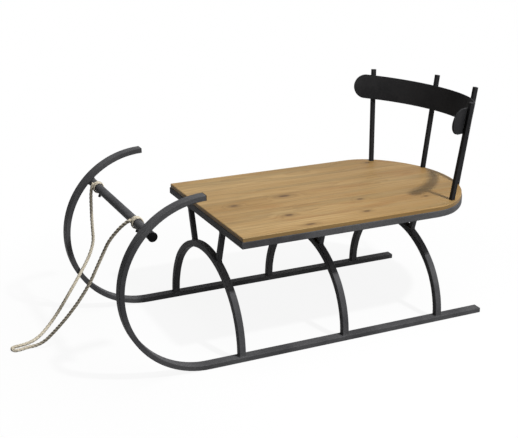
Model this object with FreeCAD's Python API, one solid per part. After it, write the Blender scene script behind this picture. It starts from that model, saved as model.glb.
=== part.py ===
import FreeCAD, Part
import os
from math import acos, asin, atan2, cos, degrees, hypot, pi, radians, sin, sqrt, tan

# A sled-shaped bench: two square-tube runners rolled up at the front, three bent arches, a board
# deck in a steel rim, four leaning posts with a curved back plate, and a jute pull rope.
# Millimetres. +X points forward to the curls, +Y to the left, +Z up. The floor is z = 0.
# The origin is under the middle of the bench, measured without the rope.

# Runners, rectangular tube laid flat
runner_width = 30.0
runner_height = 15.0
runner_corner = 2.0         # outside corner radius of that tube
runner_wall = 1.5
bore_corner = 0.5           # inside corner radius of that tube
runner_spacing = 510.0      # between the two centre lines
runner_rear = -547.7        # rear end of the straight stretch
runner_straight = 902.0
curl_radius = 245.0         # centre line of the rolled front
curl_angle = 178.5

# Arches and struts
arch_tube = 20.0
arch_corner = 2.5
arch_rear = -398.7          # plane of the rear arch
arch_mid = -75.7
arch_front = 254.8
crown_height = 251.0        # centre line at the crown
shoulder_angle = 40.0       # how far the tighter shoulder bend reaches
strut_bar = 15.0
strut_corner = 1.5
strut_set_back = 4.0        # struts' plane behind their arch's
strut_foot = 88.0           # sideways place of the strut's foot on the arch
strut_head = 121.0          # and of its head under the rail

# Deck
deck_top = 371.0
board_thickness = 12.0
board_corner = 2.0          # plan radius of the two front corners
board_ease = 1.5            # chamfer round the top edge
board_reveal = 2.0          # how far the board stays inside the rim
rail_width = 10.0           # rectangular tube set on edge
rail_height = 20.0
rail_corner = 2.0
cross_width = 20.0
deck_width = 550.0          # over the rim
deck_overlap = 5.0          # rim beyond the front arch's plane
rear_centre = -269.7        # axis of the rounded back
rear_bulge = 33.0           # how much its radius is over half the width
rim_corner = 150.0          # outer radius between side and back

# Crossbar between the curls
bar_radius = 12.5
bar_wall = 1.5
bar_angle = 45.7            # above the level of the curl's centre
bar_overhang = 1.0
stop_spacing = 334.0        # between the two rope stops
stop_radius = 4.0
stop_reach = 21.0           # from the bar's axis
stop_angle = -68.0
stop_edge_round = 1.5

# Tube plugs
plug_head = 2.0
plug_depth = 12.0
plug_gap = 0.15
plug_room = 1.0             # bore beyond the plug's shank
plug_edge_round = 0.8
dome_lip = 1.0
dome_rise = 2.0

# Backrest
plate_behind = 34.5         # its vertical axis behind that of the deck's back
plate_inset = 18.0          # inner face inside the deck's back, at the back, at mid height
plate_mid = 599.5           # height of the plate's middle at the back
plate_height = 77.0
plate_thickness = 5.0
plate_slope = 0.13          # outward lean, run over rise
plate_tilt = 6.5            # the ends stand higher than the back
plate_half_angle = 64.2     # to the centre of the round ends
post_bar = 12.7
post_corner = 1.0
post_rise = 72.0            # posts above the plate's middle at the back
post_below_rail = 4.5
inner_post_angle = 19.3     # where they meet the plate
outer_post_angle = 59.3
inner_foot_angle = 18.3     # on the rim's back
outer_foot_angle = 53.9     # in the rim's corner

# Rope
rope_diameter = 10.0
rope_right_y = -217.0
rope_left_y = 124.0
left_exit = 35.0            # where the rope leaves the crossbar, about its axis
right_exit = 0.0
tie_turn = 290.0            # how far each end goes round the crossbar
ring_count_right = 1        # closed turns to the left of that one
ring_count_left = 3

seat_gap = 0.3              # between pieces that lean on each other
hole_gap = 0.5
overcut = 1.0               # how far a cut reaches past a face

V = FreeCAD.Vector
up = V(0, 0, 1)
rail_top = deck_top - board_thickness
rail_bottom = rail_top - rail_height
post_top = plate_mid + post_rise
half_spacing = runner_spacing / 2
half_deck = deck_width / 2
arch_x = {"rear": arch_rear, "mid": arch_mid, "front": arch_front}
deck_front = arch_x["front"] + deck_overlap
rear_radius = half_deck + rear_bulge
plate_axis = rear_centre - plate_behind
plate_radius = rear_radius - plate_inset
curl_x = runner_rear + runner_straight
curl_z = runner_height / 2 + curl_radius
bar_orbit = curl_radius - runner_height / 2 - bar_radius - seat_gap
bar_x = curl_x + bar_orbit * cos(radians(bar_angle))
bar_z = curl_z + bar_orbit * sin(radians(bar_angle))
bar_half = half_spacing + runner_width / 2 + bar_overhang
sides = {"left": 1, "right": -1}


def rounded_face(centre, u, v, width, height, corner):
    """A rounded rectangle with its sides along u and v."""
    a = width / 2
    b = height / 2

    def at(x, y):
        return centre + u * x + v * y

    diagonal = corner * (1 - sqrt(0.5))
    edges = []
    for i in range(4):
        sx, sy = [(1, 1), (-1, 1), (-1, -1), (1, -1)][i]
        along_x = at(sx * (a - corner), sy * b)
        along_y = at(sx * a, sy * (b - corner))
        middle = at(sx * (a - diagonal), sy * (b - diagonal))
        first, last = (along_y, along_x) if sx * sy > 0 else (along_x, along_y)
        edges.append((first, middle, last))
    wire = []
    for i in range(4):
        first, middle, last = edges[i]
        wire.append(Part.Arc(first, middle, last).toShape())
        wire.append(Part.LineSegment(last, edges[(i + 1) % 4][0]).toShape())
    return Part.Face(Part.Wire(wire))


def bar_between(start, end, side, size, corner):
    """A square bar whose flats face along side as nearly as its lean allows."""
    run = (end - start).normalize()
    u = side - run * side.dot(run)
    u.normalize()
    v = run.cross(u)
    return rounded_face(start, u, v, size, size, corner).extrude(end - start)


def fused(shapes):
    whole = shapes[0].multiFuse(shapes[1:]) if len(shapes) > 1 else shapes[0]
    whole = whole.removeSplitter()
    return whole.Solids[0] if len(whole.Solids) == 1 else whole


def box(x0, x1, y0, y1, z0, z1):
    return Part.makeBox(x1 - x0, y1 - y0, z1 - z0, V(x0, y0, z0))


def prism(points, z0, z1):
    corners = [V(x, y, z0) for x, y in points]
    return Part.Face(Part.makePolygon(corners + corners[:1])).extrude(V(0, 0, z1 - z0))


# Runners

def runner_section(end, along, inset):
    """The flat tube's outline at one end, or its bore's with an inset."""
    y_axis = V(0, 1, 0)
    width = runner_width - 2 * inset
    height = runner_height - 2 * inset
    corner = bore_corner if inset else runner_corner
    return rounded_face(end, y_axis, along.cross(y_axis), width, height, corner)


def runner(y):
    """Straight tube and rolled curl, open at both ends for the plugs."""
    forward = V(1, 0, 0)
    centre = V(curl_x, y, curl_z)
    tube = runner_section(V(runner_rear, y, runner_height / 2), forward, 0)
    straight = tube.extrude(forward * runner_straight)
    bend_start = tube.translated(forward * runner_straight)
    curl = bend_start.revolve(centre, V(0, -1, 0), curl_angle)
    body = fused([straight, curl])
    for end, inward in runner_ends(y):
        mouth = runner_section(end, inward, runner_wall)
        body = body.cut(mouth.extrude(inward * (plug_depth + plug_room)))
    return body


def runner_ends(y):
    """The rear end and the curl's tip, each with the direction into the tube."""
    turn = radians(curl_angle)
    tip = V(curl_x + curl_radius * sin(turn), y, curl_z - curl_radius * cos(turn))
    rear = V(runner_rear, y, runner_height / 2)
    return [(rear, V(1, 0, 0)), (tip, V(-cos(turn), 0, -sin(turn)))]


def flat_plug(end, inward):
    """A cap on the tube's end with a shank that fits its bore."""
    cap = runner_section(end, inward, 0).extrude(inward * -plug_head)
    outer_edges = []
    for edge in cap.Edges:
        if all((corner.Point - end).dot(inward) < 0.01 - plug_head for corner in edge.Vertexes):
            outer_edges.append(edge)
    cap = cap.makeFillet(plug_edge_round, outer_edges)
    shank = runner_section(end, inward, runner_wall + plug_gap)
    return fused([cap, shank.extrude(inward * plug_depth)])


# Arches

def arch_bends():
    """Radius and centre height of crown and shoulder, so that the three arcs are tangent."""
    reach = radians(shoulder_angle)
    rise = crown_height - runner_height
    excess = (half_spacing - rise) / (sin(reach) + cos(reach) - 1)
    shoulder = rise + excess * (cos(reach) - 1)
    return shoulder, shoulder + excess


def arch(x):
    shoulder, crown = arch_bends()
    foot_z = runner_height
    crown_z = crown_height - crown
    shoulder_y = half_spacing - shoulder
    x_axis = V(1, 0, 0)
    foot = rounded_face(V(x, half_spacing, foot_z), x_axis, V(0, 1, 0), arch_tube, arch_tube, arch_corner)
    left = foot.revolve(V(x, shoulder_y, foot_z), x_axis, shoulder_angle)
    right = left.mirror(V(x, 0, 0), V(0, 1, 0))
    joint = foot.rotated(V(x, shoulder_y, foot_z), x_axis, shoulder_angle)
    top = joint.revolve(V(x, 0, crown_z), x_axis, 180 - 2 * shoulder_angle)
    return fused([left, top, right])


def strut_x(name):
    return arch_x[name] - strut_set_back


def strut(x, side, arch_body):
    """A short splayed bar, coped over the arch and cut level under the rail."""
    _, crown = arch_bends()
    foot_z = crown_height - crown + sqrt(crown ** 2 - strut_foot ** 2)
    foot = V(x, side * strut_foot, foot_z)
    head = V(x, side * strut_head, rail_bottom)
    lean = (head - foot).normalize()
    bar = bar_between(foot, head + lean * strut_bar, V(1, 0, 0), strut_bar, strut_corner)
    bar = bar.common(box(x - strut_bar, x + strut_bar, -half_deck, half_deck, 0, rail_bottom))
    pieces = bar.cut(arch_body).Solids
    return max(pieces, key=lambda piece: piece.CenterOfMass.z)


# Deck

def rim_geometry(inset):
    """Corner radius, back radius, corner centre and the angle where the two arcs meet."""
    corner = rim_corner - inset
    back = rear_radius - inset
    centre_y = half_deck - rim_corner
    centre_x = rear_centre - sqrt((rear_radius - rim_corner) ** 2 - centre_y ** 2)
    meet = degrees(atan2(centre_y, centre_x - rear_centre))
    return corner, back, V(centre_x, centre_y, 0), meet


def rim_tube():
    """The two side rails and the bent back, mitred at the front."""
    _, _, corner_centre, meet = rim_geometry(0)
    z = (rail_top + rail_bottom) / 2
    y = half_deck - rail_width / 2
    corner_centre.z = z
    start = rounded_face(V(deck_front, y, z), V(0, 1, 0), up, rail_width, rail_height, rail_corner)
    bend_x = corner_centre.x
    rail = start.extrude(V(bend_x - deck_front, 0, 0))
    bend_start = start.translated(V(bend_x - deck_front, 0, 0))
    corner = bend_start.revolve(corner_centre, up, meet - 90)
    back_start = bend_start.rotated(corner_centre, up, meet - 90)
    back = back_start.revolve(V(rear_centre, 0, z), up, 360 - 2 * meet)
    half = [rail, corner]
    other = [piece.mirror(V(0, 0, 0), V(0, 1, 0)) for piece in half]
    whole = fused(half + [back] + other)
    return whole.cut(mitre_corner(1)).cut(mitre_corner(-1))


def mitre_corner(side):
    """The triangle that the front bar takes from the rail's end."""
    inside_x = deck_front - rail_width
    inside_y = half_deck - rail_width
    outside_x = deck_front + overcut
    outside_y = half_deck + overcut
    points = [(inside_x, side * inside_y), (outside_x, side * outside_y), (outside_x, side * inside_y)]
    return prism(points, rail_bottom - overcut, rail_top + overcut)


def front_bar():
    x = deck_front - rail_width / 2
    z = (rail_top + rail_bottom) / 2
    face = rounded_face(V(x, -half_deck, z), V(1, 0, 0), up, rail_width, rail_height, rail_corner)
    bar = face.extrude(V(0, deck_width, 0))
    inside = deck_front - rail_width
    edge = half_deck - rail_width
    keep = [(inside, -edge), (deck_front, -half_deck), (deck_front, half_deck), (inside, edge)]
    return bar.common(prism(keep, rail_bottom - overcut, rail_top + overcut))


def cross_member(x):
    """A bar from rail to rail, its ends coped to the rim's inside."""
    z = (rail_top + rail_bottom) / 2
    face = rounded_face(V(x, -half_deck, z), V(1, 0, 0), up, cross_width, rail_height, rail_corner)
    inside = rim_outline(rail_width + seat_gap, rail_bottom)
    return face.extrude(V(0, deck_width, 0)).common(inside.extrude(up * rail_height))


def rim_outline(inset, z):
    """The rim's outline in plan, drawn in by an inset."""
    corner, back, centre, meet = rim_geometry(inset)
    x0 = deck_front - inset
    y0 = half_deck - inset
    r = board_corner

    def on(circle, radius, angle, side):
        a = radians(angle)
        return V(circle.x + radius * cos(a), side * (circle.y + radius * sin(a)), z)

    rear = V(rear_centre, 0, 0)
    edges = []
    points = {}
    for side in (1, -1):
        points[side] = [V(x0, side * (y0 - r), z), V(x0 - r, side * y0, z),
                        on(centre, corner, 90, side), on(centre, corner, meet, side)]
        front, flank, bend, join = points[side]
        middle = V(x0 - r * (1 - sqrt(0.5)), side * (y0 - r * (1 - sqrt(0.5))), z)
        edges.append(Part.Arc(front, middle, flank).toShape())
        edges.append(Part.LineSegment(flank, bend).toShape())
        edges.append(Part.Arc(bend, on(centre, corner, (90 + meet) / 2, side), join).toShape())
    edges.append(Part.Arc(points[1][3], on(rear, back, 180, 1), points[-1][3]).toShape())
    edges.append(Part.LineSegment(points[1][0], points[-1][0]).toShape())
    return Part.Face(Part.Wire(Part.__sortEdges__(edges)))


def notch(side):
    """An open cut in the board's back edge for an inner post."""
    foot = post_foot("inner", side)
    half = post_bar / 2 + hole_gap
    edge = rear_centre - rear_radius
    return box(edge, foot.x + half, foot.y - half, foot.y + half, rail_bottom, deck_top + overcut)


def board():
    slab = rim_outline(board_reveal, rail_top).extrude(V(0, 0, board_thickness))
    top_edges = [e for e in slab.Edges if all(abs(v.Point.z - deck_top) < 0.01 for v in e.Vertexes)]
    slab = slab.makeChamfer(board_ease, top_edges)
    for side in (1, -1):
        slab = slab.cut(leaning_bar("outer", side, 2 * hole_gap))
        slab = slab.cut(notch(side))
    return slab


# Crossbar

def crossbar():
    tube = Part.makeCylinder(bar_radius, 2 * bar_half, V(bar_x, -bar_half, bar_z), V(0, 1, 0))
    for side in (1, -1):
        end = V(bar_x, side * bar_half, bar_z)
        inward = V(0, -side, 0)
        tube = tube.cut(Part.makeCylinder(bar_radius - bar_wall, plug_depth + plug_room, end, inward))
    return tube


def dome_plug(side):
    """A round plug with a shallow dome, turned about the bar's axis."""
    lip = bar_radius + dome_lip
    shank = bar_radius - bar_wall - plug_gap
    y = side * bar_half
    out = side

    def at(r, along):
        return V(bar_x, y + out * along, bar_z + r)

    lines = [(at(0, -plug_depth), at(shank, -plug_depth)), (at(shank, -plug_depth), at(shank, 0)),
             (at(shank, 0), at(lip, 0)), (at(lip, 0), at(lip, plug_head / 2))]
    edges = [Part.LineSegment(p, q).toShape() for p, q in lines]
    crest = plug_head / 2 + dome_rise
    dome_radius = (lip ** 2 + dome_rise ** 2) / (2 * dome_rise)
    half = asin(lip / dome_radius) / 2
    mid = at(dome_radius * sin(half), crest - dome_radius * (1 - cos(half)))
    edges.append(Part.Arc(at(lip, plug_head / 2), mid, at(0, crest)).toShape())
    edges.append(Part.LineSegment(at(0, crest), at(0, -plug_depth)).toShape())
    profile = Part.Face(Part.Wire(edges))
    return profile.revolve(V(bar_x, y, bar_z), V(0, 1, 0), 360)


def rope_stop(side):
    """A short pin under the bar that keeps the rope beside the runner."""
    base = V(bar_x, side * stop_spacing / 2, bar_z)
    a = radians(stop_angle)
    pin = Part.makeCylinder(stop_radius, stop_reach, base, V(cos(a), 0, sin(a)))
    tip = base + V(cos(a), 0, sin(a)) * stop_reach
    end_edges = [e for e in pin.Edges if all((v.Point - tip).Length < stop_radius + 0.1 for v in e.Vertexes)]
    pin = pin.makeFillet(stop_edge_round, [e for e in end_edges if e.Curve.TypeId == "Part::GeomCircle"])
    whole_bar = Part.makeCylinder(bar_radius, 2 * bar_half, V(bar_x, -bar_half, bar_z), V(0, 1, 0))
    return pin.cut(whole_bar)


# Backrest

def out_from_axis(angle, side):
    a = radians(angle)
    return V(-cos(a), side * sin(a), 0)


def plate_height_at(x):
    """Height of the plate's middle line above the floor."""
    back = plate_axis - plate_radius
    return plate_mid + (x - back) * tan(radians(plate_tilt))


def post_reach(angle):
    """From a post's axis to the corner that it turns towards the angle."""
    a = radians(angle)
    return post_bar / 2 * (cos(a) + sin(a))


def post_contact(angle, side):
    """Where a post's axis passes the plate's middle line."""
    out = out_from_axis(angle, side)
    lean = sqrt(1 + plate_slope ** 2)
    z = plate_mid
    for _ in range(6):
        face = plate_radius + plate_slope * (z - plate_mid)
        radius = face + plate_thickness * lean + seat_gap + post_reach(angle)
        z = plate_height_at(plate_axis + radius * out.x)
    return V(plate_axis, 0, z) + out * radius


def post_foot(name, side):
    """Outer posts stand inside the rim's corner, inner posts on the rim's rail."""
    corner, back, centre, _ = rim_geometry(0)
    if name == "outer":
        radius = corner - rail_width - seat_gap - post_reach(outer_foot_angle)
        out = out_from_axis(outer_foot_angle, side)
        return V(centre.x, side * centre.y, rail_top) + out * radius
    out = out_from_axis(inner_foot_angle, side)
    return V(rear_centre, 0, rail_top) + out * (back - rail_width / 2)


def leaning_bar(name, side, growth=0.0):
    """A post's bar from below the rail to its top."""
    angle = outer_post_angle if name == "outer" else inner_post_angle
    foot = post_foot(name, side)
    touch = post_contact(angle, side)
    rise = (touch - foot) * (1 / (touch.z - foot.z))
    bottom = foot + rise * (rail_bottom - post_below_rail - foot.z)
    top = foot + rise * (post_top - foot.z)
    return bar_between(bottom, top, V(-1, 0, 0), post_bar + growth, post_corner)


def post(name, side):
    """Inner posts are cut level where they stand on the rail."""
    bar = leaning_bar(name, side)
    if name == "outer":
        return bar
    above = box(-runner_straight, 0, -half_deck, half_deck, rail_top, post_top + post_bar)
    return bar.common(above)


def back_plate():
    """A flat strip with round ends, bent round the four leaning posts."""
    low = plate_mid - 2 * plate_height
    high = plate_mid + 2 * plate_height
    wall = plate_thickness * sqrt(1 + plate_slope ** 2)
    corners = []
    for z, extra in [(low, 0), (low, wall), (high, wall), (high, 0)]:
        corners.append(V(plate_axis + plate_radius + plate_slope * (z - plate_mid) + extra, 0, z))
    profile = Part.Face(Part.makePolygon(corners + corners[:1]))
    shell = profile.revolve(V(plate_axis, 0, 0), up, 360)
    tilt = radians(plate_tilt)
    level = V(cos(tilt), 0, sin(tilt))
    back = V(plate_axis - plate_radius, 0, plate_mid)
    size = 4 * plate_radius
    band = Part.makeBox(size, size, plate_height, V(-size / 2, -size / 2, -plate_height / 2))
    band.Placement = FreeCAD.Placement(back, FreeCAD.Rotation(V(0, 1, 0), -plate_tilt))
    a = radians(plate_half_angle)
    far = size / sin(a)
    wedge = [(plate_axis, 0), (plate_axis - far * cos(a), far * sin(a)), (plate_axis - size, 0),
             (plate_axis - far * cos(a), -far * sin(a))]
    middle = shell.common(band).common(prism(wedge, low, high))
    pieces = [middle]
    for side in (1, -1):
        out = level * -cos(a) + V(0, side * sin(a), 0)
        flat = out_from_axis(plate_half_angle, side)
        radius = plate_radius
        centre = V(plate_axis, 0, plate_height_at(plate_axis + radius * flat.x)) + flat * radius
        reach = plate_height
        round_end = Part.makeCylinder(plate_height / 2, 2 * reach, centre - out * reach, out)
        pieces.append(shell.common(round_end))
    return fused(pieces)


# Rope

def rope_start(y, exit_angle):
    """Where the rope leaves its turn round the crossbar, and which way it then runs."""
    a = radians(exit_angle)
    orbit = bar_radius + seat_gap + rope_diameter / 2
    start = V(bar_x + orbit * cos(a), y, bar_z + orbit * sin(a))
    return start, V(sin(a), 0, -cos(a))


# The rope's route after each tie: down the right leg, round the fold on the floor, up the left.
right_leg = [(529, -218.5, 325), (528.5, -220, 280), (531, -217.5, 240), (544, -210, 204),
             (569, -198, 170), (601, -181.5, 134), (638, -163, 93), (676, -143, 54),
             (716, -123, 22), (749, -106, 7), (777, -94, 5.3)]
fold = [(803, -89, 5.3), (824, -87, 5.3), (824, -63, 5.3), (803, -62.5, 5.3)]
left_leg = [(780, -70.5, 5.3), (756, -66, 7.5), (734, -52, 23), (709, -31, 58), (680, -4.5, 104),
            (649, 22, 159), (622, 45.5, 216), (603, 63, 270), (585, 79, 319), (567, 96.5, 361)]
right_drop = 42.0           # straight out of the right tie
left_drop = 30.0


def rope_route():
    first, down = rope_start(rope_right_y, right_exit)
    last, out = rope_start(rope_left_y, left_exit)
    middle = [V(*point) for point in right_leg + fold + left_leg]
    return [first, first + down * right_drop] + middle + [last + out * left_drop, last]


def rope_path(points):
    """Straight runs joined by tangent arcs, with each arc's radius."""
    edges = []
    radii = []
    here = points[0]
    for before, corner, after in zip(points, points[1:], points[2:]):
        back = before - corner
        ahead = after - corner
        run = 0.45 * min(back.Length, ahead.Length)
        back.normalize()
        ahead.normalize()
        turn = acos(max(-1.0, min(1.0, -back.dot(ahead))))
        radius = run / tan(turn / 2)
        enter = corner + back * run
        leave = corner + ahead * run
        toward = (back + ahead).normalize()
        middle = corner + toward * (hypot(run, radius) - radius)
        edges.append(Part.LineSegment(here, enter).toShape())
        edges.append(Part.Arc(enter, middle, leave).toShape())
        radii.append(radius)
        here = leave
    edges.append(Part.LineSegment(here, points[-1]).toShape())
    return Part.Wire(edges), radii


def pull_rope():
    points = rope_route()
    path, radii = rope_path(points)
    start_direction = (points[1] - points[0]).normalize()
    end = Part.Wire(Part.makeCircle(rope_diameter / 2, points[0], start_direction))
    tube = path.makePipeShell([end], True, False, 2)
    section = pi * (rope_diameter / 2) ** 2
    print("rope length %.0f, volume ratio %.4f" % (path.Length, tube.Volume / (section * path.Length)))
    print("rope radii", [round(r) for r in radii])
    return tube


def rope_tie(y, exit_angle, rings):
    """Turns of rope round the crossbar; the rope leaves from the first one's flat end."""
    start, direction = rope_start(y, exit_angle)
    face = Part.Face(Part.Wire(Part.makeCircle(rope_diameter / 2, start, direction)))
    turns = [face.revolve(V(bar_x, y, bar_z), V(0, -1, 0), tie_turn)]
    orbit = bar_radius + seat_gap + rope_diameter / 2
    for i in range(rings):
        centre = V(bar_x, y + (i + 1) * (rope_diameter + seat_gap), bar_z)
        turns.append(Part.makeTorus(orbit, rope_diameter / 2, centre, V(0, 1, 0)))
    return Part.makeCompound(turns)


def build():
    parts = {}
    for name, side in sides.items():
        y = side * half_spacing
        parts["runner_" + name] = runner(y)
        for place, (end, inward) in zip(("rear", "tip"), runner_ends(y)):
            parts["runner_plug_%s_%s" % (place, name)] = flat_plug(end, inward)
    for name, x in arch_x.items():
        body = arch(x)
        parts["arch_" + name] = body
        for side_name, side in sides.items():
            parts["strut_%s_%s" % (name, side_name)] = strut(strut_x(name), side, body)
    parts["deck_rim"] = rim_tube()
    parts["deck_front_bar"] = front_bar()
    for name in ("mid", "rear"):
        parts["deck_cross_" + name] = cross_member(strut_x(name))
    parts["deck_board"] = board()
    parts["crossbar"] = crossbar()
    for name, side in sides.items():
        parts["crossbar_plug_" + name] = dome_plug(side)
        parts["rope_stop_" + name] = rope_stop(side)
        for place in ("inner", "outer"):
            parts["back_post_%s_%s" % (place, name)] = post(place, side)
    parts["back_plate"] = back_plate()
    parts["pull_rope"] = pull_rope()
    parts["rope_tie_right"] = rope_tie(rope_right_y, right_exit, ring_count_right)
    parts["rope_tie_left"] = rope_tie(rope_left_y, left_exit, ring_count_left)
    return parts


os.makedirs("parts", exist_ok=True)
bench = None
for node, shape in build().items():
    shape.exportStep("parts/%s.step" % node)
    print("%-26s valid %s solids %d volume %.0f" % (node, shape.isValid(), len(shape.Solids), shape.Volume))
    if not node.startswith("rope_tie") and node != "pull_rope":
        bounds = shape.optimalBoundingBox(True, False)
        bench = bounds if bench is None else bench.united(bounds)
print("bench box x %.1f %.1f y %.1f %.1f z %.1f %.1f" % (
    bench.XMin, bench.XMax, bench.YMin, bench.YMax, bench.ZMin, bench.ZMax))
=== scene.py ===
from functools import reduce
from math import atan2, cos, pi, radians, sin

import bpy
from mathutils import Matrix, Vector


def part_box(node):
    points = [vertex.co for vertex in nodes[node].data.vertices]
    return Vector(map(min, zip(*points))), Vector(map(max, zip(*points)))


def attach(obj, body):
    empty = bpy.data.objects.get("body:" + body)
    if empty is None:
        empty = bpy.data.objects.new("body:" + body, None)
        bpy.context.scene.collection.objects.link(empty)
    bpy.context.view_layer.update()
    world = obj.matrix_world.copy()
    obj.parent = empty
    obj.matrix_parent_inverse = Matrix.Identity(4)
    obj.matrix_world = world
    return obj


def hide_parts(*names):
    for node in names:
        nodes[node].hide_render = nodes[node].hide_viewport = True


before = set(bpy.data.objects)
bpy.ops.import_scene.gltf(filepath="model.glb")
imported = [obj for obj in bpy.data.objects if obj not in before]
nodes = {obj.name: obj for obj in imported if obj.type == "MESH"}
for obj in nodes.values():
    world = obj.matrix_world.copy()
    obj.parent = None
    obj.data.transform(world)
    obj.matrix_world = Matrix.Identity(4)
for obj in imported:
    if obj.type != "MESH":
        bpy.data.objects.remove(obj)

scene = bpy.context.scene
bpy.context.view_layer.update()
print("frame loaded:", len(nodes), "nodes")

# Camera, solved from the photograph; metres, radians and pixels
view = {
    "place": (1.3562, 2.7019, 1.3542),
    "aim": (-0.40310, -0.85404, -0.32882),
    "roll": 0.0015,
    "focalPixels": 1060.6,
    "framePixels": 518.0,        # the width of the picture
    "sensor": 36.0,              # the sensor's width in mm
    "clip": 50.0,
}


def makeCamera(v):
    data = bpy.data.cameras.new("viewCamera")
    data.sensor_fit = "HORIZONTAL"
    data.sensor_width = v["sensor"]
    data.lens = v["sensor"] * v["focalPixels"] / v["framePixels"]
    data.clip_end = v["clip"]
    camera = bpy.data.objects.new("viewCamera", data)
    turn = Vector(v["aim"]).to_track_quat("-Z", "Y").to_matrix().to_4x4()
    camera.matrix_world = Matrix.Translation(v["place"]) @ turn @ Matrix.Rotation(v["roll"], 4, "Z")
    scene.collection.objects.link(camera)
    scene.camera = camera


makeCamera(view)
print("camera placed")


# Lines, tubes and pieces

def splinePoints(name, points, fineness):
    # a NURBS line through the route, and the points that Blender draws it with
    curve = bpy.data.curves.new(name, "CURVE")
    curve.dimensions = "3D"
    curve.resolution_u = fineness
    spline = curve.splines.new("NURBS")
    spline.points.add(len(points) - 1)
    for point, place in zip(spline.points, points):
        point.co = (*place, 1)
    spline.order_u = 3
    spline.use_endpoint_u = True
    carrier = bpy.data.objects.new(name, curve)
    scene.collection.objects.link(carrier)
    bpy.context.view_layer.update()
    mesh = bpy.data.meshes.new_from_object(carrier.evaluated_get(bpy.context.evaluated_depsgraph_get()))
    line = [v.co.copy() for v in mesh.vertices]
    bpy.data.meshes.remove(mesh)
    bpy.data.objects.remove(carrier)
    bpy.data.curves.remove(curve)
    return line


def evenly(line, step, fewest=4, slack=1e-9):
    # the same line with points a step apart, and its length
    total = sum((b - a).length for a, b in zip(line, line[1:]))
    count = max(fewest, round(total / step))
    spacing = total / count
    points = [line[0].copy()]
    walked = 0.0
    want = spacing
    for a, b in zip(line, line[1:]):
        length = (b - a).length
        while want <= walked + length + slack and len(points) < count:
            points.append(a.lerp(b, (want - walked) / length))
            want += spacing
        walked += length
    points.append(line[-1].copy())
    return points, total


def turningNormals(points):
    # two normals at each point of a line, carried along it without extra twist
    pairs = []
    normal = None
    for i in range(len(points)):
        ahead = points[min(i + 1, len(points) - 1)] - points[max(i - 1, 0)]
        tangent = ahead.normalized()
        if normal is None:
            normal = tangent.orthogonal().normalized()
        normal = (normal - tangent * normal.dot(tangent)).normalized()
        pairs.append((normal, tangent.cross(normal)))
    return pairs


def ringAt(centre, normals, size, sides):
    # the points of a circle square to a line
    n, m = normals
    angles = [2 * pi * k / sides for k in range(sides)]
    return [centre + (n * cos(a) + m * sin(a)) * size for a in angles]


def tubeFaces(base, rings, sides):
    # the faces between a tube's rings of points, then those of its two ends
    faces = []
    for i in range(rings - 1):
        low = base + i * sides
        high = low + sides
        for k in range(sides):
            j = (k + 1) % sides
            faces.append((low + k, low + j, high + j, high + k))
    for i, order in ((0, -1), (rings - 1, 1)):
        faces.append(tuple([base + i * sides + k for k in range(sides)][::order]))
    return faces


def newPiece(name, verts, faces):
    mesh = bpy.data.meshes.new(name)
    mesh.from_pydata([tuple(v) for v in verts], [], faces)
    piece = bpy.data.objects.new(name, mesh)
    scene.collection.objects.link(piece)
    return piece


# Pull rope, in metres. Its route has the points of the plain tube; those near the ties are moved
rope = {
    "diameter": 0.010,
    "strands": 3,
    "strandRadius": 0.64,        # share of the rope's radius
    "lay": 3.6,                  # one full twist, in diameters
    "sides": 9,
    "step": 0.0016,
    "curveFineness": 24,         # points drawn for each of the route's
    "fibreShift": 0.37,          # the fibres start elsewhere on each strand
    "fibreEnd": 0.1,             # and are spread over its ends
    "seatGap": 0.0003,
    "rightExit": 45.0,           # angles about the crossbar
    "leftExit": 25.0,
    "rightY": -0.203,
    "leftY": 0.142,
    "rightDrop": 0.014,
    "leftDrop": 0.030,
    "spring": (0.001, -0.012, 0.0173),   # the left leg stands off its exit
    "rightTurns": 1.2,
    "leftTurns": 1.5,
    "turnPitch": 1.03,           # in diameters
    "turnSteps": 56,
    "flatStart": 0.9,            # how far a winding turns before it becomes a helix
    "pressed": 0.48,             # how thick the windings stay on the bar
}
rightLeg = [(0.532, -0.214, 0.325), (0.530, -0.218, 0.280), (0.529, -0.217, 0.240),
            (0.544, -0.210, 0.204), (0.569, -0.198, 0.170), (0.601, -0.1815, 0.134),
            (0.638, -0.163, 0.093), (0.676, -0.143, 0.054), (0.716, -0.123, 0.022),
            (0.749, -0.106, 0.007), (0.777, -0.094, 0.0053)]
fold = [(0.803, -0.089, 0.0053), (0.824, -0.087, 0.0053), (0.824, -0.063, 0.0053), (0.803, -0.0625, 0.0053)]
leftLeg = [(0.780, -0.0705, 0.0053), (0.756, -0.066, 0.0075), (0.734, -0.052, 0.023),
           (0.709, -0.031, 0.058), (0.680, -0.0045, 0.104), (0.649, 0.022, 0.159),
           (0.622, 0.0455, 0.216), (0.603, 0.063, 0.270), (0.5855, 0.079, 0.319), (0.5735, 0.097, 0.3585)]

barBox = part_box("crossbar")
barAxis = Vector(((barBox[0][0] + barBox[1][0]) / 2, 0, (barBox[0][2] + barBox[1][2]) / 2))
barRadius = (barBox[1][0] - barBox[0][0]) / 2
ropeOrbit = barRadius + rope["seatGap"] + rope["diameter"] / 2


def onBar(y, a):
    # where the rope's middle is when it lies on the crossbar
    return barAxis + Vector((ropeOrbit * cos(a), y, ropeOrbit * sin(a)))


def tieStart(y, angle):
    # a leg's end on the crossbar, and its way out
    a = radians(angle)
    return onBar(y, a), Vector((sin(a), 0, -cos(a)))


def ropeRoute():
    first, down = tieStart(rope["rightY"], rope["rightExit"])
    last, out = tieStart(rope["leftY"], rope["leftExit"])
    middle = [Vector(p) for p in rightLeg + fold + leftLeg]
    bend = last + out * rope["leftDrop"] + Vector(rope["spring"])
    return [first, first + down * rope["rightDrop"]] + middle + [bend, last]


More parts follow.
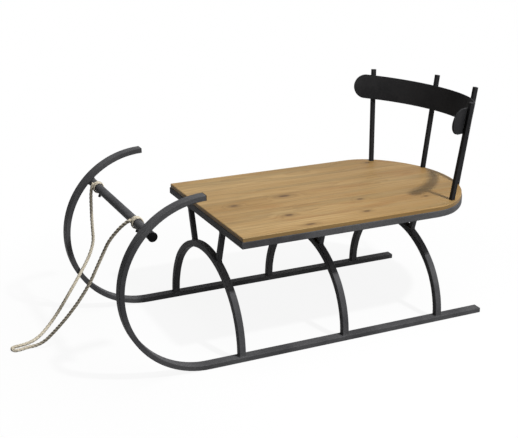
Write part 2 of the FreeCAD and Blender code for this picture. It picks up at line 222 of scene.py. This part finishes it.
def strandUvs(lengths, shift, r):
    # along the fibres and round them, for each of a strand's faces
    uvs = []
    for u0, u1 in zip(lengths, lengths[1:]):
        for k in range(r["sides"]):
            v0 = k / r["sides"] + shift
            v1 = (k + 1) / r["sides"] + shift
            uvs.append(((u0, v0), (u0, v1), (u1, v1), (u1, v0)))
    for u in (lengths[0], lengths[-1]):
        uvs.append(tuple((u, r["fibreEnd"] * k) for k in range(r["sides"])))
    return uvs


def strandedRope(name, points, r):
    # strands laid round a line
    radius = r["diameter"] / 2
    strandRadius = radius * r["strandRadius"]
    orbit = radius - strandRadius
    twist = 2 * pi / (r["lay"] * r["diameter"])
    lengths = [0.0]
    for a, b in zip(points, points[1:]):
        lengths.append(lengths[-1] + (b - a).length)
    normals = turningNormals(points)
    verts, faces, uvs = [], [], []
    for strand in range(r["strands"]):
        start = 2 * pi * strand / r["strands"]
        centres = []
        for point, (n, m), walked in zip(points, normals, lengths):
            a = start + twist * walked
            centres.append(point + (n * cos(a) + m * sin(a)) * orbit)
        faces += tubeFaces(len(verts), len(centres), r["sides"])
        uvs += strandUvs(lengths, strand * r["fibreShift"], r)
        for centre, pair in zip(centres, turningNormals(centres)):
            verts += ringAt(centre, pair, strandRadius, r["sides"])
    piece = newPiece(name, verts, faces)
    layer = piece.data.uv_layers.new(name="fibres")
    for polygon, corners in zip(piece.data.polygons, uvs):
        polygon.use_smooth = len(corners) == 4
        for loop, uv in zip(polygon.loop_indices, corners):
            layer.data[loop].uv = uv
    return piece


def windingPoints(y, angle, turns):
    # a rope wound round the crossbar from its exit, each turn beside the last
    pitch = rope["diameter"] * rope["turnPitch"]
    steps = int(turns * rope["turnSteps"])
    points = []
    for i in range(steps + 1):
        turned = 2 * pi * turns * i / steps
        along = max(0.0, turned - rope["flatStart"]) / (2 * pi) * pitch
        points.append(onBar(y + along, radians(angle) + turned))
    return points


def pressOnBar(piece):
    # tight turns flatten against the crossbar
    for vertex in piece.data.vertices:
        out = vertex.co - barAxis
        out.y = 0
        stand = out.length - barRadius - rope["seatGap"]
        vertex.co -= out.normalized() * stand * (1 - rope["pressed"])


def ropeWinding(name, y, angle, turns):
    line, _ = evenly(windingPoints(y, angle, turns), rope["step"])
    piece = strandedRope(name, line, rope)
    pressOnBar(piece)
    return piece


ropePoints, ropeLength = evenly(splinePoints("ropeLine", ropeRoute(), rope["curveFineness"]), rope["step"])
pullRope = strandedRope("pullRope", ropePoints, rope)
tieRight = ropeWinding("ropeWindingRight", rope["rightY"], rope["rightExit"], rope["rightTurns"])
tieLeft = ropeWinding("ropeWindingLeft", rope["leftY"], rope["leftExit"], rope["leftTurns"])
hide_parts("pull_rope")
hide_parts("rope_tie_right")
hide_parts("rope_tie_left")
for piece in (pullRope, tieRight, tieLeft):
    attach(piece, "root")
print("rope laid: %.3f m" % ropeLength)


# Weld beads, where the frame's tubes stand on each other
weld = {
    "radius": 0.0017,
    "ripple": 0.0026,            # from one ripple to the next
    "rippleDepth": 0.16,
    "sides": 8,
    "step": 0.0009,
    "tip": 0.4,                  # an open bead's thin ends, as a share of its radius
    "tipLength": 0.003,
    "barOffset": 0.0050,         # beside the line where the crossbar touches a curl
    "barSunk": 0.0006,           # below the bar's surface
    "barShort": 0.002,           # short of the curl's sides
    "level": 0.0001,             # points this close lie together
    "longEdge": 0.7,             # which edges run along a strut, as a share of the longest
}


def roundOrder(points, axis):
    # the points in turn about their middle, as a closed loop
    middle = sum(points, Vector()) / len(points)
    first = axis.orthogonal().normalized()
    second = axis.cross(first)
    turned = sorted(points, key=lambda p: atan2((p - middle).dot(second), (p - middle).dot(first)))
    return turned + [turned[0]]


def footLoop(node, side, w):
    # round the flat foot of an arch on one side
    spots = [v.co.copy() for v in nodes[node].data.vertices if v.co.y * side > 0]
    low = min(p.z for p in spots)
    return roundOrder([p for p in spots if p.z < low + w["level"]], Vector((0, 0, 1)))


def endLoops(node, w):
    # round both ends of a straight strut, from its long edges
    mesh = nodes[node].data
    pairs = [[mesh.vertices[i].co for i in edge.vertices] for edge in mesh.edges]
    least = w["longEdge"] * max((a - b).length for a, b in pairs)
    pairs = [sorted(pair, key=lambda p: p.z) for pair in pairs if (pair[0] - pair[1]).length > least]
    axis = (pairs[0][1] - pairs[0][0]).normalized()
    return [roundOrder([pair[k].copy() for pair in pairs], axis) for k in (0, 1)]


def barLines(side, w):
    # two straight beads between the crossbar and the inside of a curl
    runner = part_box("runner_left" if side > 0 else "runner_right")
    centreZ = (runner[0][2] + runner[1][2]) / 2
    centre = Vector((runner[1][0] - centreZ, 0, centreZ))
    out = (barAxis - centre).normalized()
    across = Vector((-out.z, 0, out.x))
    inner, outer = sorted(abs(corner[1]) for corner in runner)
    ends = [Vector((0, side * y, 0)) for y in (inner + w["barShort"], outer - w["barShort"])]
    lines = []
    for way in (1, -1):
        place = barAxis + out * (barRadius - w["barSunk"]) + across * way * w["barOffset"]
        lines.append([place + end for end in ends])
    return lines


def addBead(verts, faces, line, w):
    points, total = evenly(line, w["step"])
    closed = (points[0] - points[-1]).length < w["level"]
    faces += tubeFaces(len(verts), len(points), w["sides"])
    for i, (point, pair) in enumerate(zip(points, turningNormals(points))):
        walked = total * i / (len(points) - 1)
        size = w["radius"] * (1 + w["rippleDepth"] * sin(2 * pi * walked / w["ripple"]))
        if not closed:
            size *= min(1, w["tip"] + min(walked, total - walked) / w["tipLength"])
        verts += ringAt(point, pair, size, w["sides"])


def weldBeads(w):
    lines = []
    for place in ("rear", "mid", "front"):
        for side, word in ((1, "left"), (-1, "right")):
            lines += [footLoop("arch_" + place, side, w), *endLoops("strut_%s_%s" % (place, word), w)]
    for side in (1, -1):
        lines += barLines(side, w)
    verts, faces = [], []
    for line in lines:
        addBead(verts, faces, line, w)
    piece = newPiece("weldBeads", verts, faces)
    piece.data.shade_smooth()
    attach(piece, "root")
    return piece


welds = weldBeads(weld)
print("welds laid:", len(welds.data.polygons), "faces")


# Shader maths

class Field:
    # one output of a material's nodes, usable in plain sums
    def __init__(self, tree, socket):
        self.tree = tree
        self.socket = socket

    def joined(self, operation, *others):
        # a maths node on this field and then the others
        return maths(self.tree, operation, self, *others)

    def __add__(self, other):
        return self.joined("ADD", other)

    def __sub__(self, other):
        return self.joined("SUBTRACT", other)

    def __rsub__(self, other):
        return maths(self.tree, "SUBTRACT", other, self)

    def __mul__(self, other):
        return self.joined("MULTIPLY", other)

    def __truediv__(self, other):
        return self.joined("DIVIDE", other)

    def __rtruediv__(self, other):
        return maths(self.tree, "DIVIDE", other, self)

    def __pow__(self, other):
        return self.joined("POWER", other)

    __radd__ = __add__
    __rmul__ = __mul__

    def over(self, low, high):
        # 0 at low, 1 at high, eased between
        return addNode(self.tree, "ShaderNodeMapRange", {"interpolation_type": "SMOOTHSTEP"},
                       {"Value": self, "From Min": low, "From Max": high}, "Result")


def feed(tree, target, value):
    # links or sets one socket
    if isinstance(value, Field):
        tree.links.new(value.socket, target)
    elif isinstance(value, tuple) and target.type == "RGBA":
        target.default_value = (*value, 1)
    else:
        target.default_value = value


def addNode(tree, kind, settings, sockets, output=0):
    # any node: its type, its settings, then its sockets' values or links
    node = tree.nodes.new(kind)
    for key, value in settings.items():
        setattr(node, key, value)
    for key, value in sockets.items():
        feed(tree, node.inputs[key], value)
    return Field(tree, node.outputs[output])


def maths(tree, operation, *terms):
    return addNode(tree, "ShaderNodeMath", {"operation": operation}, dict(enumerate(terms)))


def mixColour(tree, factor, first, second):
    # the mix node has sockets of the same name, so these go by number
    return addNode(tree, "ShaderNodeMix", {"data_type": "RGBA"}, {0: factor, 6: first, 7: second}, 2)


def layered(tree, colour, layers):
    # colours laid over the first, each with its amount
    for amount, above in layers:
        colour = mixColour(tree, amount, colour, above)
    return colour


def axisOf(tree, vector, name):
    return addNode(tree, "ShaderNodeSeparateXYZ", {}, {0: vector}, name)


def stretched(tree, vector, scale, move=(0, 0, 0)):
    return addNode(tree, "ShaderNodeMapping", {}, {"Vector": vector, "Scale": scale, "Location": move})


def noise(tree, vector, scale, detail, roughness):
    return addNode(tree, "ShaderNodeTexNoise", {},
                   {"Vector": vector, "Scale": scale, "Detail": detail, "Roughness": roughness})


def longNoise(tree, vector, stretch, detail, roughness, move=(0, 0, 0)):
    # noise that is drawn out along one axis
    return noise(tree, stretched(tree, vector, stretch, move), 1.0, detail, roughness)


def bumps(tree, height, strength, distance, below=None):
    sockets = {"Height": height, "Strength": strength, "Distance": distance}
    if below is not None:
        sockets["Normal"] = below
    return addNode(tree, "ShaderNodeBump", {}, sockets)


def newMaterial(name):
    material = bpy.data.materials.new(name)
    material.use_nodes = True
    tree = material.node_tree
    surface = tree.nodes["Principled BSDF"]
    place = addNode(tree, "ShaderNodeTexCoord", {}, {}, "Object")
    return material, tree, surface, place


def plug(tree, surface, **values):
    # feeds the surface shader; a name's underscores stand for spaces
    for key, value in values.items():
        feed(tree, surface.inputs[key.replace("_", " ")], value)


# Powder-coated steel. A noise is its scale, detail and roughness; a range is where it starts and is full
coating = {
    "colour": (0.082, 0.082, 0.085),
    "pale": (0.165, 0.164, 0.167),
    "dark": (0.036, 0.036, 0.039),
    "rubbed": (0.20, 0.195, 0.19),
    "roughness": 0.58,
    "gloss": 0.06,
    "cloud": (9.0, 3.0, 0.55),
    "cloudRange": (0.35, 0.7),
    "cloudRoughness": 0.16,
    "grain": (1400.0, 2.0, 0.6),
    "grainRange": (0.45, 0.8),
    "grainShare": 0.65,
    "grainRoughness": 0.20,
    "grainBump": (0.55, 0.00006),        # strength, height
    "specks": (420.0, 2.0, 0.6),
    "speckRange": (0.38, 0.62),
    "speckShare": 0.55,
    "handled": (34.0, 4.0, 0.65),
    "handledRange": (0.60, 0.78),
    "handledSpecks": (0.5, 0.7),
    "handledShare": 0.30,
    "scuffs": ((14, 260, 260), 3.0, 0.6),
    "scuffRange": (0.48, 0.62),
    "scuffShare": 0.8,
    "sole": (0.0004, 0.0030),            # how high the scuffs reach
    "waves": (60.0, 2.0, 0.5),
    "waveBump": (0.25, 0.0004),
}
# the back's coat is blacker: partly its own darker paint, partly painted shade on the back's plate and posts
blackCoatAndShade = {
    **coating,
    "colour": (0.018, 0.018, 0.019),
    "pale": (0.060, 0.060, 0.061),
    "dark": (0.008, 0.008, 0.009),
    "gloss": 0.05,
}


def coatedSteel(name, c):
    material, tree, surface, place = newMaterial(name)
    cloud, grain, specks, hands, waves = (noise(tree, place, *c[key])
                                          for key in ("cloud", "grain", "specks", "handled", "waves"))
    sole = 1 - axisOf(tree, place, "Z").over(*c["sole"])
    scuffs = longNoise(tree, place, *c["scuffs"]).over(*c["scuffRange"])
    handled = hands.over(*c["handledRange"]) * specks.over(*c["handledSpecks"])
    colour = layered(tree, c["colour"], [
        (cloud.over(*c["cloudRange"]), c["dark"]),
        (specks.over(*c["speckRange"]) * c["speckShare"], c["dark"]),
        (grain.over(*c["grainRange"]) * c["grainShare"], c["pale"]),
        (sole * scuffs * c["scuffShare"], c["rubbed"]),
        (handled * c["handledShare"], c["pale"]),
    ])
    rough = c["roughness"] + (cloud - 0.5) * c["cloudRoughness"] + (grain - 0.5) * c["grainRoughness"]
    fine = bumps(tree, grain, *c["grainBump"])
    plug(tree, surface, Base_Color=colour, Roughness=rough, Normal=bumps(tree, waves, *c["waveBump"], fine),
         Specular_IOR_Level=c["gloss"])
    return material


# Moulded plastic of the tube plugs
moulding = {
    "colour": (0.0026, 0.0026, 0.0028),
    "worn": (0.0070, 0.0070, 0.0074),
    "roughness": 0.60,
    "gloss": 0.04,
    "spark": (2600.0, 2.0, 0.6),
    "sparkBump": (0.4, 0.00004),
    "wear": (120.0, 3.0, 0.6),
    "wearRange": (0.5, 0.75),
    "wearShare": 0.6,
    "wearRoughness": 0.3,
}


def mouldedPlastic(c):
    material, tree, surface, place = newMaterial("mouldedPlastic")
    spark = noise(tree, place, *c["spark"])
    wear = noise(tree, place, *c["wear"])
    colour = mixColour(tree, wear.over(*c["wearRange"]) * c["wearShare"], c["colour"], c["worn"])
    plug(tree, surface, Base_Color=colour, Roughness=c["roughness"] + (wear - 0.5) * c["wearRoughness"],
         Normal=bumps(tree, spark, *c["sparkBump"]), Specular_IOR_Level=c["gloss"])
    return material


# Pine board, glued from staves, in metres
pine = {
    "light": (0.435, 0.292, 0.128),
    "mid": (0.280, 0.165, 0.055),
    "late": (0.155, 0.080, 0.025),
    "knot": (0.060, 0.026, 0.010),
    "shade": (0.165, 0.098, 0.036),
    "grey": (0.250, 0.176, 0.076),
    "warm": (0.285, 0.145, 0.046),
    "roughness": 0.52,
    "gloss": 0.14,
    "staveWidth": 0.118,
    "seam": (0.00015, 0.0007),           # from its middle to its edge
    "heartDepth": -0.11,                 # each log's centre line below the board's top
    "heartSpread": (0.09, 0.06),         # how far those differ, across and down
    "apart": (7.0, 5.0),                 # how far the staves' noises lie apart
    "chanceStep": 31.7,
    "ringWidth": 0.0065,
    "lateRise": (0.25, 0.93),            # dark late wood grows through a ring
    "lateEnd": (0.93, 1.0),              # and ends sharply
    "drift": ((1.6, 4.0, 4.0), 2.0, 0.5),
    "driftReach": 0.085,
    "sway": ((5.0, 14.0, 14.0), 3.0, 0.55),
    "swayReach": 0.020,
    "wobble": ((7.0, 30.0, 30.0), 2.0, 0.5),
    "wobbleReach": 0.9,
    "lateShare": 0.08,
    "lateStreaks": 0.38,
    "streaks": ((7.0, 420.0, 420.0), 3.0, 0.6),
    "streakRange": (0.50, 0.76),
    "streakShare": 0.58,
    "fibres": ((40.0, 2200.0, 2200.0), 2.0, 0.6),
    "fibreRange": (0.55, 0.8),
    "fibreShare": 0.20,
    "broad": ((1.5, 11.0, 11.0), 2.0, 0.5),
    "broadRange": (0.28, 0.72),
    "broadShare": 0.75,
    "chanceShare": 0.25,
    "bands": ((1.8, 34.0, 34.0), 3.0, 0.6),
    "bandRange": (0.46, 0.64),
    "bandShare": 0.62,
    "patches": ((3.2, 12.0, 12.0), 3.0, 0.6, (5.1, 2.3, 0)),
    "patchRange": (0.52, 0.72),
    "patchShare": 0.60,
    "seamShare": 0.45,
    "inKnot": (900.0, 3.0, 0.6),
    "knotShare": 0.62,
    "inKnotShare": 0.38,
    "knotCore": (0.30, 1.05),            # in half sizes of the knot
    "knotHalo": (0.5, 2.6),
    "haloShare": 0.55,
    "knotSwell": (0.4, 3.4),             # where the rings go round it
    "swellShare": 1.1,
    "edge": (0.0030, 0.0012),            # depths; the board's sides take more oil
    "edgeShare": 0.55,
    "back": (-0.50, 0.05),               # painted shade: it gets darker to the back, under the backrest
    "backShadeShare": 0.26,
    "relief": {"late": -0.5, "fibres": 0.35, "streaks": 0.3, "knot": -0.4, "seam": -1.2},
    "reliefBump": (0.35, 0.0004),
    "reliefRoughness": 0.25,
}
# each knot's place along and across, half length and half width
knots = [(0.1678, 0.0128, 0.016, 0.009), (-0.0069, -0.0103, 0.026, 0.011), (0.0586, 0.1529, 0.017, 0.010),
         (0.0392, 0.2480, 0.020, 0.007), (-0.4191, -0.2150, 0.013, 0.008), (-0.1994, 0.1114, 0.013, 0.007),
         (-0.1612, 0.2163, 0.015, 0.008), (-0.3942, 0.1702, 0.010, 0.006)]


def mostOf(fields):
    return reduce(lambda a, b: a.joined("MAXIMUM", b), fields)


def knotFields(x, y, c):
    # what is in a knot, what is close to one, and how far each one pushes the rings
    cores, halos, swells = [], [], []
    for kx, ky, halfLong, halfWide in knots:
        dx = (x - kx) / halfLong
        dy = (y - ky) / halfWide
        far = (dx * dx + dy * dy) ** 0.5
        cores.append(1 - far.over(*c["knotCore"]))
        halos.append(1 - far.over(*c["knotHalo"]))
        swells.append((1 - far.over(*c["knotSwell"])) * halfWide * c["swellShare"])
    return mostOf(cores), mostOf(halos), sum(swells)


def chanceOf(tree, stave):
    return addNode(tree, "ShaderNodeTexWhiteNoise", {"noise_dimensions": "1D"}, {"W": stave}, "Value")


def pineBoard(c):
    material, tree, surface, place = newMaterial("pineBoard")
    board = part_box("deck_board")
    top = board[1][2]
    x, y, z = (axisOf(tree, place, name) for name in "XYZ")
    # staves side by side, each with two numbers of its own
    count = (y - board[0][1]) / c["staveWidth"]
    stave = count.joined("FLOOR")
    inStave = count - stave
    seam = 1 - (inStave.joined("MINIMUM", 1 - inStave) * c["staveWidth"]).over(*c["seam"])
    chance = chanceOf(tree, stave)
    other = chanceOf(tree, stave + c["chanceStep"])
    # the grain wanders slowly along each stave
    own = addNode(tree, "ShaderNodeCombineXYZ", {},
                  {"X": chance * c["apart"][0], "Y": other * c["apart"][1], "Z": 0.0})
    shifted = addNode(tree, "ShaderNodeVectorMath", {"operation": "ADD"}, {0: place, 1: own})
    drift, sway, wobble, streaks, broad, bands, patches = (
        longNoise(tree, shifted, *c[key])
        for key in ("drift", "sway", "wobble", "streaks", "broad", "bands", "patches"))
    fibres = longNoise(tree, place, *c["fibres"])
    wide, deep = c["heartSpread"]
    across = (inStave - 0.5) * c["staveWidth"] + (chance - 0.5) * wide + (drift - 0.5) * c["driftReach"]
    below = z - (top + c["heartDepth"]) + (other - 0.5) * deep + (sway - 0.5) * c["swayReach"]
    radius = (across * across + below * below) ** 0.5
    knot, halo, push = knotFields(x, y, c)
    phase = (radius + push) / c["ringWidth"] + wobble * c["wobbleReach"]
    ring = phase.joined("FRACT")
    late = ring.over(*c["lateRise"]) - ring.over(*c["lateEnd"])
    inKnot = noise(tree, place, *c["inKnot"])
    edgeLow, edgeHigh = c["edge"]
    edge = 1 - z.over(top - edgeLow, top - edgeHigh)
    toned = broad.over(*c["broadRange"]) * c["broadShare"] + chance * c["chanceShare"]
    colour = layered(tree, mixColour(tree, toned, c["light"], c["mid"]), [
        (bands.over(*c["bandRange"]) * c["bandShare"], c["grey"]),
        (patches.over(*c["patchRange"]) * c["patchShare"], c["warm"]),
        # painted shade: the board darker towards the back, under the backrest
        ((1 - x.over(*c["back"])) * c["backShadeShare"], c["shade"]),
        (late * (c["lateShare"] + streaks * c["lateStreaks"]), c["late"]),
        (streaks.over(*c["streakRange"]) * c["streakShare"], c["shade"]),
        (fibres.over(*c["fibreRange"]) * c["fibreShare"], c["late"]),
        (seam * c["seamShare"], c["late"]),
        (halo * c["haloShare"], c["shade"]),
        (knot * (c["knotShare"] + inKnot * c["inKnotShare"]), c["knot"]),
        (edge * c["edgeShare"], c["shade"]),
    ])
    parts = {"late": late, "fibres": fibres, "streaks": streaks, "knot": knot, "seam": seam}
    height = sum(field * c["relief"][key] for key, field in parts.items())
    plug(tree, surface, Base_Color=colour, Roughness=c["roughness"] + (streaks - 0.5) * c["reliefRoughness"],
         Normal=bumps(tree, height, *c["reliefBump"]), Specular_IOR_Level=c["gloss"])
    return material


# Jute
jute = {
    "pale": (0.660, 0.600, 0.480),
    "mid": (0.560, 0.500, 0.390),
    "dark": (0.420, 0.368, 0.275),
    "roughness": 0.88,
    "gloss": 0.2,
    "fine": ((260.0, 26.0, 1.0), 3.0, 0.65),     # along the fibres and round them
    "fineRange": (0.42, 0.72),
    "fineShare": 0.65,
    "fineRoughness": 0.15,
    "coarse": ((90.0, 9.0, 1.0), 2.0, 0.5),
    "coarseRange": (0.48, 0.72),
    "coarseShare": 0.55,
    "blotch": (38.0, 3.0, 0.55),
    "blotchRange": (0.35, 0.68),
    "relief": {"fine": 0.7, "coarse": 0.6},
    "reliefBump": (0.8, 0.0006),
}


def juteFibre(c):
    material, tree, surface, place = newMaterial("juteFibre")
    along = addNode(tree, "ShaderNodeUVMap", {"uv_map": "fibres"}, {})
    fine = longNoise(tree, along, *c["fine"])
    coarse = longNoise(tree, along, *c["coarse"])
    blotch = noise(tree, place, *c["blotch"])
    base = mixColour(tree, blotch.over(*c["blotchRange"]), c["mid"], c["pale"])
    colour = layered(tree, base, [
        (coarse.over(*c["coarseRange"]) * c["coarseShare"], c["dark"]),
        (fine.over(*c["fineRange"]) * c["fineShare"], c["pale"]),
    ])
    height = fine * c["relief"]["fine"] + coarse * c["relief"]["coarse"]
    plug(tree, surface, Base_Color=colour, Roughness=c["roughness"] + (fine - 0.5) * c["fineRoughness"],
         Normal=bumps(tree, height, *c["reliefBump"]), Specular_IOR_Level=c["gloss"])
    return material


steel = coatedSteel("coatedSteel", coating)
blackSteelAndShade = coatedSteel("blackCoatAndShadeSteel", blackCoatAndShade)
plastic = mouldedPlastic(moulding)
wood = pineBoard(pine)
fibre = juteFibre(jute)


def finishOf(name):
    # the back's plate and posts: a darker coat that is partly painted shade
    if name.startswith("back_"):
        return blackSteelAndShade
    if name == "deck_board":
        return wood
    return plastic if "plug" in name else steel


for name, node in nodes.items():
    node.data.materials.clear()
    node.data.materials.append(finishOf(name))
for piece in (pullRope, tieRight, tieLeft):
    piece.data.materials.append(fibre)
welds.data.materials.append(steel)
print("finishes given")


# Floor, lamps and background
studio = {
    "floorSize": 90.0,
    "floorDrop": 0.0006,         # below the runners
    "floorRoughness": 0.9,
    "floorColour": 0.20,         # for the light that it throws back
    "seenColour": 0.80,          # where its shading is seen
    "shadowShare": 0.09,         # how much of its own shading the floor shows under the bench
    "shadowReach": (0.55, 1.25), # where that fades out, from the origin
    "white": 1.0,
    "worldStrength": 0.045,
    "lamps": [
        # name, place, aim, size, watts
        ("keyLamp", (-0.88, 1.98, 3.62), (-0.10, 0.0, 0.30), 0.26, 150.0),
        ("skyLamp", (-0.25, 0.20, 3.30), (0.1, 0.1, 0.2), 2.4, 36.0),
        ("sideLamp", (-0.90, 2.00, 0.90), (0.0, 0.25, 0.30), 0.9, 15.0),
    ],
}


def whiteRays(tree):
    # 1 for what is seen directly, in a reflection or through something clear
    path = tree.nodes.new("ShaderNodeLightPath")
    return mostOf([Field(tree, path.outputs[name])
                   for name in ("Is Camera Ray", "Is Glossy Ray", "Is Transmission Ray")])


def makeFloor(s):
    half = s["floorSize"] / 2
    corners = [(-half, -half, 0), (half, -half, 0), (half, half, 0), (-half, half, 0)]
    floor = newPiece("studioFloor", corners, [(0, 1, 2, 3)])
    floor.location.z = -s["floorDrop"]
    material, tree, surface, place = newMaterial("paleFloor")
    seen = whiteRays(tree)
    colour = mixColour(tree, seen, (s["floorColour"],) * 3, (s["seenColour"],) * 3)
    plug(tree, surface, Base_Color=colour, Roughness=s["floorRoughness"], Specular_IOR_Level=0.0)
    white = addNode(tree, "ShaderNodeEmission", {}, {"Color": (1, 1, 1), "Strength": s["white"]})
    flat = addNode(tree, "ShaderNodeVectorMath", {"operation": "MULTIPLY"}, {0: place, 1: (1, 1, 0)})
    out = addNode(tree, "ShaderNodeVectorMath", {"operation": "LENGTH"}, {0: flat}, "Value")
    shade = (1 - out.over(*s["shadowReach"])) * s["shadowShare"]
    blend = addNode(tree, "ShaderNodeMixShader", {},
                    {0: seen * (1 - shade), 1: Field(tree, surface.outputs[0]), 2: white})
    tree.links.new(blend.socket, tree.nodes["Material Output"].inputs["Surface"])
    floor.data.materials.append(material)


def makeLamps(s):
    for name, place, aim, size, watts in s["lamps"]:
        data = bpy.data.lights.new(name, "AREA")
        data.shape = "DISK"
        data.size = size
        data.energy = watts
        lamp = bpy.data.objects.new(name, data)
        lamp.location = place
        lamp.rotation_euler = (Vector(aim) - Vector(place)).to_track_quat("-Z", "Y").to_euler()
        scene.collection.objects.link(lamp)


def makeWorld(s):
    world = bpy.data.worlds.new("studioWorld")
    world.use_nodes = True
    scene.world = world
    tree = world.node_tree
    tree.nodes.clear()
    strength = whiteRays(tree) * (s["white"] - s["worldStrength"]) + s["worldStrength"]
    sky = addNode(tree, "ShaderNodeBackground", {}, {"Color": (1, 1, 1), "Strength": strength})
    output = tree.nodes.new("ShaderNodeOutputWorld")
    tree.links.new(sky.socket, output.inputs["Surface"])


makeFloor(studio)
makeLamps(studio)
makeWorld(studio)
scene.view_settings.view_transform = "Standard"
print("studio lit")
